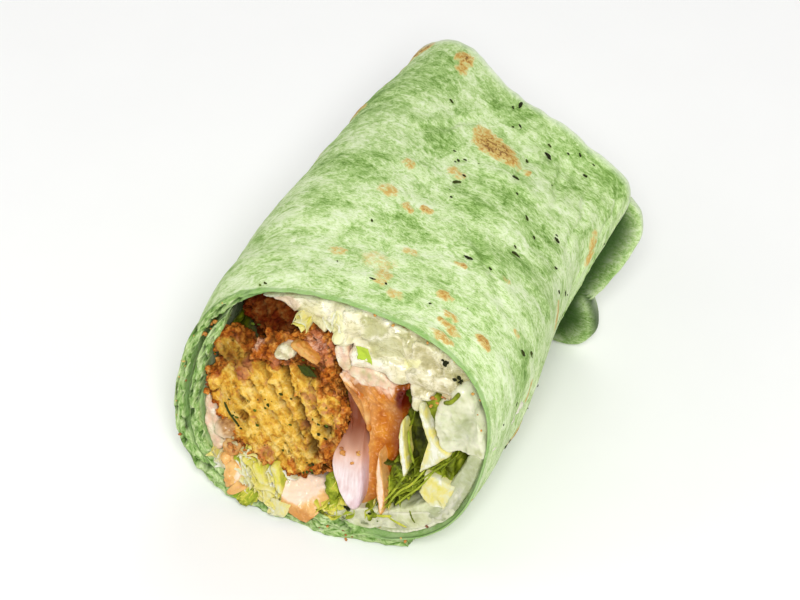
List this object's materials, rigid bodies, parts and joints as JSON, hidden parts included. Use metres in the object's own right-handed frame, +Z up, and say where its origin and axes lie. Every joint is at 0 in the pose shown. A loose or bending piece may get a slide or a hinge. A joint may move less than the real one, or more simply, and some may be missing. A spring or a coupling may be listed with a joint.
{
  "type": "wrap sandwich",
  "caption": "Cut half of a rolled falafel wrap: green flatbread round falafel, lettuce, tomato and onion.",
  "frame": {"origin": "bottom centre of the bounding box, on the surface that the wrap lies on", "axes": "+Y from the cut face along the roll to the tucked far end, +Z up, +X to the right as the cut face is seen"},
  "size_m": [0.0774, 0.1158, 0.0599],
  "materials": {
    "tortilla": "soft matt flatbread, mottled green with toasted spots",
    "falafel": "crumbly golden inside with a browned crust",
    "falafel_crust": "rough dark brown fried crust",
    "tomato": "wet orange red flesh with a redder skin",
    "tomato_pale": "wet pale pink flesh",
    "onion": "wet, translucent white with a purple edge",
    "cucumber": "wet pale flesh with a dark green skin",
    "chickpea": "matt tan",
    "dressing": "creamy sauce over pale shredded lettuce",
    "lettuce": "crisp leaf, from pale rib to dark green edge"
  },
  "bodies": {
    "root": {"tortilla": "tortilla", "falafel_front": "falafel", "falafel_rear": "falafel_crust", "onion_slice": "onion", "tomato_slice": "tomato", "tomato_sliver": "tomato", "tomato_chunk": "tomato_pale", "tomato_piece_left": "tomato_pale", "cucumber_slice_low": "cucumber", "cucumber_slice_side": "cucumber", "chickpea": "chickpea", "dressing": "dressing", "lettuce": "lettuce"}
  },
  "joints": []
}
